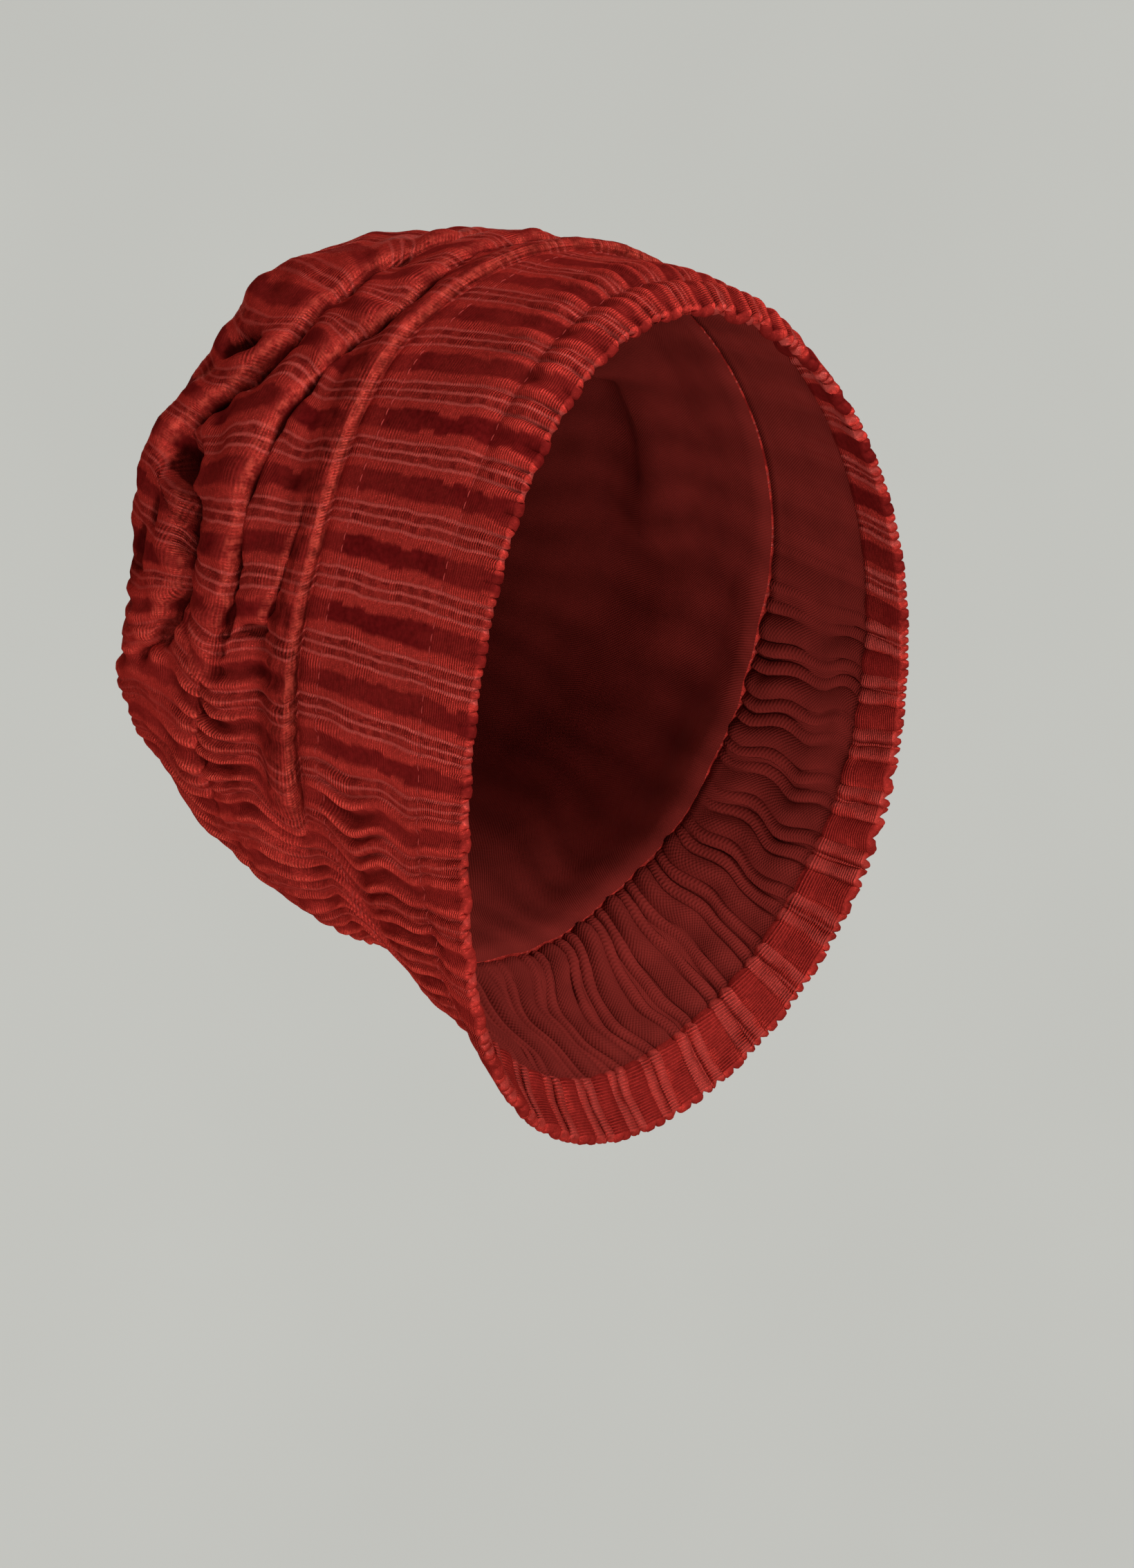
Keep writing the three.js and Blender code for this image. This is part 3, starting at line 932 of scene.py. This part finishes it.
def new_material(name):
    """An empty node material: the wrapper to build it, the place on the piece, and a function that
    finishes it with one Principled shader, or with two that are mixed by a share."""
    material = bpy.data.materials.new(name)
    material.use_nodes = True
    material.node_tree.nodes.clear()
    shade = Shade(material.node_tree)

    def finish(inputs, other=None, share=None):
        surface = shade.node("ShaderNodeBsdfPrincipled", {}, inputs)
        if other:
            second = shade.node("ShaderNodeBsdfPrincipled", {}, other)
            surface = shade.node("ShaderNodeMixShader", {}, {0: share, 1: surface, 2: second})
        shade.node("ShaderNodeOutputMaterial", {}, {"Surface": surface})
        return material

    return shade, shade.node("ShaderNodeTexCoord", {}, {}, "Object"), finish


def cloth_shades(shade):
    """Stripe repeats across and millimetres along the cloth, from its UV map."""
    uv = shade.node("ShaderNodeUVMap", {"uv_map": "cloth"})
    across, along = (shade.node("ShaderNodeSeparateXYZ", {}, {0: uv}, k) for k in (0, 1))
    return across, along * MM_PER_CM


def velvet_material(colours, repeats):
    """Striped velvet. Across each repeat: a dark plush bar with stepped edges, ribbed satin ground, and
    three thin light lines with short dark dashes between them. The ridge is streaked along its length,
    and where the cloth is slack, below, the stripes are fainter and the crests of the ribs shine with a
    painted highlight. The bent lips of the rolls and the other crests get painted highlights too, the
    hollows painted shade, and the crown and the ridge a little painted shade all over."""
    shade, place, finish = new_material("striped_velvet")
    across, along = cloth_shades(shade)
    relief, lip = (shade.node("ShaderNodeAttribute", {"attribute_name": mark}, {}, "Fac")
                   for mark in ("relief", "lip"))

    def spot(first, second):
        return shade.node("ShaderNodeCombineXYZ", {}, {0: first, 1: second})

    def chance(first, second):
        where = spot(first, second)
        return shade.node("ShaderNodeTexWhiteNoise", {"noise_dimensions": "2D"}, {"Vector": where})

    # Where the finish changes
    turned = (across - repeats / 2).math("ABSOLUTE")
    crown, hem = ramp("crown finish", along), ramp("hem finish", along)
    low = ramp("low finish", turned + crown * 1.5)
    brow = ramp("brow finish", turned)
    ridge = ramp("ridge finish", along) * ramp("end of the ridge", turned)
    sewn = ramp("sewn ridge", along) + ramp("sewn hem", along) * 0.55
    # Hollows get painted shade, less at the seams, and crests a painted highlight, little on the ridge
    hollow = ramp("hollow", relief) * (1 - sewn * (1 - low) * 0.8)
    crest = ramp("crest", relief) * ridge.less(0.75)

    # The nap: its fuzz, wear, patches and crushed spots, and painted glints and painted sparkle
    fuzz, patch, crush = (place.noise(name) for name in ("fuzz", "patch", "crush"))
    wear, glint, sparkle = (ramp(name, place.noise(name)) for name in ("wear", "glint", "sparkle"))

    # Plush bars with stepped edges
    sway = place.noise("bar sway").swing(0.12) + place.noise("fine bar sway").swing(0.03)
    shifted = across - BAR_PLACE + 0.5 + sway
    repeat = shifted.math("FLOOR")
    from_middle = shifted - repeat - 0.5
    upper = chance((along / UPPER_STEP).math("FLOOR"), repeat)
    lower = chance((along / LOWER_STEP + 0.4).math("FLOOR"), repeat + 0.5)
    frayed = fuzz.swing(0.05)
    bar = ramp("upper edge", from_middle + upper * upper * 0.09 + frayed + low * 0.03)
    bar = bar * ramp("lower edge", from_middle - lower * lower * 0.06 + frayed - low * 0.03)
    bar = bar * (0.72 + wear * 0.28) * hem.less(0.1) * low.less(0.45) * brow.less(0.25)
    # Bars fade where crests and the bent lips get their painted highlight
    bar = bar * crest.less(0.35 - hem * 0.25) * ramp("beside the ridge", along).less(0.3) * lip.less(0.2)

    # Thin light lines with dashes between them
    from_middle_line = (from_middle.math("ABSOLUTE") - 0.5).math("ABSOLUTE")
    from_line = from_middle_line.math("MINIMUM", (from_middle_line - LINE_OFFSET).math("ABSOLUTE"))
    line = ramp("line", from_line) * ridge.less(0.4) * low.less(0.6) * brow.less(0.25)
    line = line * ramp("faint lines", along).less(0.35) * crown.less(0.15)
    half = (across * 2.0).math("ROUND")
    beat = along / DASH_PITCH + chance(half, repeat)
    picked = chance(beat.math("FLOOR"), half)
    dashes = ramp("between the lines", from_middle_line) * ramp("off the line", from_line)
    dashes = dashes * ramp("dash", beat.math("FRACT")) * ramp("picked", picked)
    dashes = dashes * ridge.less(0.6) * low.less(0.5)

    # Ribs of the satin ground, whose hatch shows more under the painted highlight of slack crests, streaks
    # of the ridge, and painted light
    ribs = (along * (2 * math.pi / RIB_PITCH) + place.noise("rib sway") * 5.0).math("SINE")
    hatch = ribs * (0.07 + ramp("hatch", place.noise("hatch")) * 0.30 + hem * 0.24 + crest * low * 0.35)
    streak = spot(across * 1.6, along * 2.4).noise("streak").swing(ridge)
    # Painted light: a painted highlight on the crests and painted shade over the crown, times the ridge's
    # painted shade with the pile's own mottle on it
    mottled = ridge.less(0.3) + place.noise("mottle").swing(ridge) * 1.6
    lit = (1 + crest * (0.3 - crown * 0.26 + low * 0.26) - crown * (0.08 - low * 0.05)) * mottled
    # The ground and the plush: the nap's own variations and painted glints, times the painted light, and
    # darkened by painted shade in the hollows, as the lines are
    ground = 0.96 + patch.swing(0.7) + hatch + crush.swing(0.7) + streak * 1.2 + hem * 0.06
    ground = ground + glint * 0.5 - ramp("inside the lines", from_middle_line) * 0.2
    ground = (ground * lit * hollow.less(0.74 - low * 0.16)).brighten(colours.ground)
    plush = (0.95 + patch.swing(0.7) + fuzz.swing(1.2) + streak) * lit * hollow.less(0.55)
    plush = plush.brighten(colours.bar)
    colour = (dashes * (0.2 + wear * 0.35)).mix(ground, plush)
    colour = (line * (0.5 + picked * 0.3) * hollow.less(0.7)).mix(colour, rgba(colours.line))
    ticks = across.wave(1 / TICKS)
    # Painted highlight in the lips' colour: on the bent lips, brighter on the ridge and with painted
    # sparkle, but not in their hollows, and on the crests of slack ribs
    painted_highlight = (0.06 + ridge * 0.1 + sparkle * 0.47 + ticks * 0.06) * lip * (1 - hollow)
    painted_highlight = painted_highlight + crest * low * (0.16 + ramp("crushed", crush) * 0.5) * (1 - lip)
    colour, plush = (painted_highlight.mix(base, rgba(colours.lip)) for base in (colour, plush))
    height = crush * 0.6 + hatch * 0.8 + line * 0.5 + lip * ticks * 0.25
    satin = (height + dashes * 0.3 + streak * 0.9 + glint * 0.5).bump(0.7, 0.0005)
    pile = (fuzz + bar * 0.6).bump(0.5, 0.0006)
    return finish(
        {
            "Base Color": colour,
            "Roughness": 0.50 - glint * 0.14 + crush * 0.06,
            "Metallic": 0.45,
            "Normal": satin,
            "Specular IOR Level": 0.0,
            "Specular Tint": (1.0, 0.22, 0.14, 1.0),
        },
        {
            "Base Color": plush,
            "Roughness": 0.7,
            "Metallic": 0.1,
            "Normal": pile,
            "Specular IOR Level": 0.0,
            "Specular Tint": (1.0, 0.15, 0.10, 1.0),
            "Sheen Weight": 0.03,
            "Sheen Roughness": 0.4,
            "Sheen Tint": (1.0, 0.08, 0.06, 1.0),
        },
        bar)


def reverse_material(colours):
    """The matt knitted reverse: fine loops in rows along the cloth, with the stripes showing faintly."""
    shade, place, finish = new_material("knitted_reverse")
    across, along = cloth_shades(shade)
    patch = place.noise("reverse")
    stripe = ((across - BAR_PLACE) * (2 * math.pi)).math("COSINE")
    loops = along.wave(LOOP_PITCH) * across.wave(1 / TICKS)
    colour = (1 - stripe * 0.10 + loops * 0.10 + patch.swing(0.5)).brighten(colours.reverse)
    return finish({
        "Base Color": colour, "Roughness": 0.88 - patch * 0.1, "Normal": loops.bump(0.4, 0.0004), **DULL})


def thread_material(colours):
    """Twisted sewing thread, lighter than the cloth."""
    _, place, finish = new_material("sewing_thread")
    fibre = place.noise("fibre")
    return finish({
        "Base Color": (0.7 + fibre * 0.6).brighten(colours.thread),
        "Roughness": 0.5 + fibre * 0.2,
        "Normal": fibre.bump(0.4, 0.0001),
        **DULL,
    })


def backdrop_material(colour):
    """Plain matt paper with a very slight mottle and a glow of its own, which keeps it evenly light."""
    _, place, finish = new_material("backdrop_paper")
    paper = (0.97 + place.noise("paper") * 0.06).brighten(colour)
    return finish({
        "Base Color": paper,
        "Roughness": 0.95,
        "Specular IOR Level": 0.0,
        "Emission Color": paper,
        "Emission Strength": 0.42,
    })


def stitch_line(name, sizes, at, sink, material):
    """A line of stitches: capsules along a ring of the cloth, every one a ring of sides carried along a
    short arc with half-sine thickness, all worked out together."""
    grid = cloth_grid(sizes, BAND_COLUMNS, np.array([at - STITCH_SLICE, at, at + STITCH_SLICE]))
    line, out = grid[1], outward(grid)[1]
    steps = np.linalg.norm(np.roll(line, -1, axis=0) - line, axis=1)
    girth = np.concatenate(([0], np.cumsum(steps)))
    count = int(round(girth[-1] / (sizes.stitch_pitch / MM)))
    share = np.linspace(*STITCH_SPAN, STITCH_RINGS)
    spots = (np.arange(count)[:, None] + share) / count * girth[-1]

    def along_line(values):
        closed = np.concatenate((values, values[:1]))
        return np.stack([np.interp(spots, girth, closed[:, k]) for k in range(3)], axis=-1)

    centre, up = along_line(line), unit(along_line(out))
    forward = unit(np.gradient(centre, axis=1))
    beside = np.cross(forward, up)
    bow = np.sin(math.pi * (share - share[0]) / (share[-1] - share[0]))
    thick = sizes.thread / MM / 2 * np.maximum(bow, STITCH_TIP) ** STITCH_BLUNT
    centre = centre + (bow * STITCH_BOW - sink)[None, :, None] * up
    turn = np.linspace(0, 2 * math.pi, STITCH_SIDES, endpoint=False)
    spoke = np.cos(turn)[:, None] * up[:, :, None, :] + np.sin(turn)[:, None] * beside[:, :, None, :]
    points = centre[:, :, None, :] + thick[None, :, None, None] * spoke
    base = (np.arange(count) * STITCH_RINGS * STITCH_SIDES)[:, None]
    quads = np.roll(ring_quads(STITCH_RINGS, STITCH_SIDES)[..., ::-1], 1, axis=-1).reshape(-1, 4)
    quads = (base[:, None] + quads).reshape(-1, 4)
    cap = np.arange(STITCH_SIDES)
    start_caps, end_caps = base + cap[::-1], base + (STITCH_RINGS - 1) * STITCH_SIDES + cap
    faces = quads.tolist() + start_caps.tolist() + end_caps.tolist()
    return new_piece(name, new_mesh(name, points * MM, faces, [material]))


class BEANIE_OT_band(bpy.types.Operator):
    """Makes the front band with its turned hem"""

    bl_idname = "beanie.band"
    bl_label = "Front band"

    def execute(self, context):
        sizes, colours = context.scene.beanie_sizes, context.scene.beanie_colours
        rows = np.append(np.linspace(0, SEAM - SEAM_EDGE, BAND_ROWS - 1), SEAM)
        outer = cloth_grid(sizes, BAND_COLUMNS, np.append(rows, SEAM + SEAM_EDGE))[:-1]
        kept = outer[-2:, ::BAND_COLUMNS // CROWN_COLUMNS]
        outer[-2:, 1::2] = (kept + np.roll(kept, -1, axis=1)) / 2
        outer = outer[::-1]
        inner_rows = np.concatenate((np.linspace(0, HEM - HEM_STEP, HEM_ROWS),
                                     np.linspace(HEM + HEM_STEP, SEAM, BAND_INSIDE_ROWS - HEM_ROWS)))
        wall = np.where(inner_rows < HEM, HEM_WALL, BAND_WALL)
        inner = cloth_grid(sizes, BAND_COLUMNS, inner_rows, wall)
        along = unit(inner[1] - inner[0])
        turn = math.pi * np.arange(1, RIM_ROWS + 1) / (RIM_ROWS + 1)
        middle = (outer[-1] + inner[0]) / 2
        radius = (outer[-1] - inner[0]) / 2
        scallop = nap(sizes, *cloth_places(sizes, BAND_COLUMNS, rows[:1]))[0][:, None]
        reach = np.linalg.norm(radius, axis=-1, keepdims=True) + scallop
        edge = (middle + np.cos(turn)[:, None, None] * radius
                - np.sin(turn)[:, None, None] * reach * along)
        grid = np.concatenate((outer, edge, inner))
        spot = np.concatenate((rows[::-1], np.zeros(RIM_ROWS), inner_rows))
        inside = np.concatenate((np.zeros(BAND_ROWS + RIM_ROWS, bool), inner_rows > HEM))
        materials = [velvet_material(colours, sizes.repeats), reverse_material(colours)]
        # The relief mark places the velvet's painted shade and painted highlight
        marks = {"relief": relief_grid(sizes, BAND_COLUMNS, rows, BAND_RELIEF)[::-1]}
        piece = ring_mesh("front_band_velvet", grid, spot, BAND_COLUMNS, materials, inside, marks)
        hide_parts("front_band")
        return {"FINISHED"}


class BEANIE_OT_crown(bpy.types.Operator):
    """Makes the slouching crown with its rolls and gathered end"""

    bl_idname = "beanie.crown"
    bl_label = "Slouch crown"

    def execute(self, context):
        sizes, colours = context.scene.beanie_sizes, context.scene.beanie_colours
        start, stop = SEAM + SEAM_GAP, END - END_GAP
        rows = np.concatenate(([start], np.linspace(start + SEAM_EDGE, ROLLS_END, CROWN_ROLL_ROWS - 1),
                               np.linspace(BACK_START, stop, CROWN_BACK_ROWS)))
        outer = cloth_grid(sizes, CROWN_COLUMNS, np.insert(rows, 0, start - SEAM_EDGE))[:0:-1]
        fine_rows = np.linspace(start, stop, len(rows))
        kept = np.arange(0, len(rows), CROWN_INSIDE_STEP)
        inner_rows = fine_rows[kept]
        inner = under_grid(sizes, CROWN_COLUMNS, fine_rows, CROWN_WALL, CROWN_UNDER)[kept]
        grid = np.concatenate((outer, inner))
        spot = np.concatenate((rows[::-1], inner_rows))
        inside = np.concatenate((np.zeros(len(rows), bool), np.ones(len(kept), bool)))
        tip = hull(np.array(0.0), np.array(END))
        materials = [velvet_material(colours, sizes.repeats), reverse_material(colours)]
        # The relief and lip marks place the velvet's painted shade and painted highlights
        marks = {"relief": relief_grid(sizes, CROWN_COLUMNS, rows, CROWN_RELIEF)[::-1],
                 "lip": lip_grid(sizes, CROWN_COLUMNS, rows)[::-1]}
        piece = ring_mesh("slouch_crown_velvet", grid, spot, CROWN_COLUMNS, materials, inside, marks,
                          (tip, tip - CROWN_WALL * AXIS))
        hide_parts("slouch_crown")
        return {"FINISHED"}


class BEANIE_OT_stitches(bpy.types.Operator):
    """Sews the two lines of stitches, at the hem and beside the ridge"""

    bl_idname = "beanie.stitches"
    bl_label = "Stitches"

    def execute(self, context):
        sizes = context.scene.beanie_sizes
        material = thread_material(context.scene.beanie_colours)
        stitch_line("hem_stitches", sizes, HEM, HEM_SINK, material)
        stitch_line("ridge_stitches", sizes, RIDGE_ROW - RIDGE_STITCHES, RIDGE_SINK, material)
        return {"FINISHED"}


def look(obj, right, up, back):
    """Turns an object so that its local axes are right, up and back."""
    turned = Matrix((right, up, back)).transposed().to_4x4()
    obj.matrix_world = Matrix.Translation(obj.location) @ turned


def area_light(name, place, target, size, power):
    """A square area light aimed at a point."""
    light = bpy.data.lights.new(name, "AREA")
    light.size = size
    light.energy = power
    lamp = new_object(name, light)
    back = (place - target).normalized()
    right = Vector((0, 0, 1)).cross(back).normalized()
    lamp.location = place
    look(lamp, right, back.cross(right), back)
    lamp.visible_camera = False
    return lamp


class BEANIE_OT_stage(bpy.types.Operator):
    """Makes the camera, the seamless backdrop and the lights"""

    bl_idname = "beanie.stage"
    bl_label = "Stage"

    def execute(self, context):
        scene, stage = context.scene, context.scene.beanie_stage
        right = Vector((math.cos(VIEW_TURN), math.sin(VIEW_TURN), 0))
        toward = Vector((math.sin(VIEW_TURN), -math.cos(VIEW_TURN), 0))
        up = Vector((0, 0, 1))
        target = VIEW_SIDE * right + VIEW_LEVEL * up
        lens = bpy.data.cameras.new("photo_view")
        lens.sensor_fit = "VERTICAL"
        lens.sensor_height = SENSOR_MM
        lens.lens = SENSOR_MM * PX_PER_METRE * VIEW_DISTANCE / IMAGE_HEIGHT_PX
        camera = new_object("photo_view", lens)
        camera.location = target + VIEW_DISTANCE * toward
        cos, sin = math.cos(VIEW_ROLL), math.sin(VIEW_ROLL)
        look(camera, cos * right - sin * up, sin * right + cos * up, toward)
        scene.camera = camera
        self.backdrop(CAD_BOX[0].z - stage.floor_drop, stage.backdrop)
        lights = (
            ("key_light", (1.3, 0.5, 0.75), 0.6, stage.key_power),
            ("top_light", (0.1, 1.15, 1.0), 0.7, stage.top_power),
            ("fill_light", (-0.5, -0.75, 1.0), 1.0, stage.fill_power),
            ("back_light", (0.1, 0.25, -1.3), 1.0, stage.back_power))
        for name, (side, above, before), size, power in lights:
            area_light(name, target + side * right + above * up + before * toward, target, size, power)
        world = bpy.data.worlds.new("soft_sky")
        world.use_nodes = True
        sky = world.node_tree.nodes["Background"].inputs
        sky["Color"].default_value = (1.0, 0.99, 0.97, 1.0)
        sky["Strength"].default_value = stage.sky
        scene.world = world
        scene.view_settings.view_transform = "Standard"
        return {"FINISHED"}

    def backdrop(self, floor, colour):
        """A bowl of revolution: a flat floor, a quarter circle and a wall, seamless all round."""
        flat, bend, wall, around = 1.5, 1.2, 6.0, 96
        hole, floor_rings, bend_rings = 0.02, 8, 24
        turn = np.linspace(0, math.pi / 2, bend_rings)[1:]
        radius = np.concatenate((np.linspace(hole, flat, floor_rings), flat + bend * np.sin(turn),
                                 [flat + bend]))
        height = np.concatenate((np.zeros(floor_rings), bend * (1 - np.cos(turn)), [wall]))
        spin = np.linspace(0, 2 * math.pi, around, endpoint=False)
        points = np.stack([radius[:, None] * np.cos(spin), radius[:, None] * np.sin(spin),
                           floor + height[:, None] + np.zeros(around)], axis=-1)
        quads = ring_quads(len(radius), around)[..., ::-1].reshape(-1, 4)
        faces = quads.tolist() + [list(range(around))]
        bowl = new_object("backdrop", new_mesh("backdrop", points, faces, [backdrop_material(colour)]))
        bowl.visible_diffuse = bowl.visible_glossy = False


class BEANIE_PT_panel(bpy.types.Panel):
    """Lists the steps that make the beanie"""

    bl_idname = "BEANIE_PT_panel"
    bl_label = "Beanie"
    bl_space_type = "VIEW_3D"
    bl_region_type = "UI"
    bl_category = "Beanie"

    def draw(self, context):
        for step in STEPS:
            self.layout.operator(step.bl_idname)
        for group in (context.scene.beanie_sizes, context.scene.beanie_colours, context.scene.beanie_stage):
            box = self.layout.box()
            for name in group.__annotations__:
                box.prop(group, name)


GROUPS = {"beanie_sizes": BeanieSizes, "beanie_colours": BeanieColours, "beanie_stage": StageSettings}
STEPS = (BEANIE_OT_stage, BEANIE_OT_band, BEANIE_OT_crown, BEANIE_OT_stitches)


def register():
    """Registers the settings, the operators and the panel."""
    for name, group in GROUPS.items():
        bpy.utils.register_class(group)
        setattr(bpy.types.Scene, name, PointerProperty(type=group))
    for kind in (*STEPS, BEANIE_PT_panel):
        bpy.utils.register_class(kind)


def unregister():
    """Takes away what register added."""
    for kind in (BEANIE_PT_panel, *reversed(STEPS)):
        bpy.utils.unregister_class(kind)
    for name, group in reversed(GROUPS.items()):
        delattr(bpy.types.Scene, name)
        bpy.utils.unregister_class(group)


def main():
    """Registers the add-on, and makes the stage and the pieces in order."""
    register()
    bpy.ops.beanie.stage()
    bpy.ops.beanie.band()
    bpy.ops.beanie.crown()
    bpy.ops.beanie.stitches()


if __name__ == "__main__":
    main()
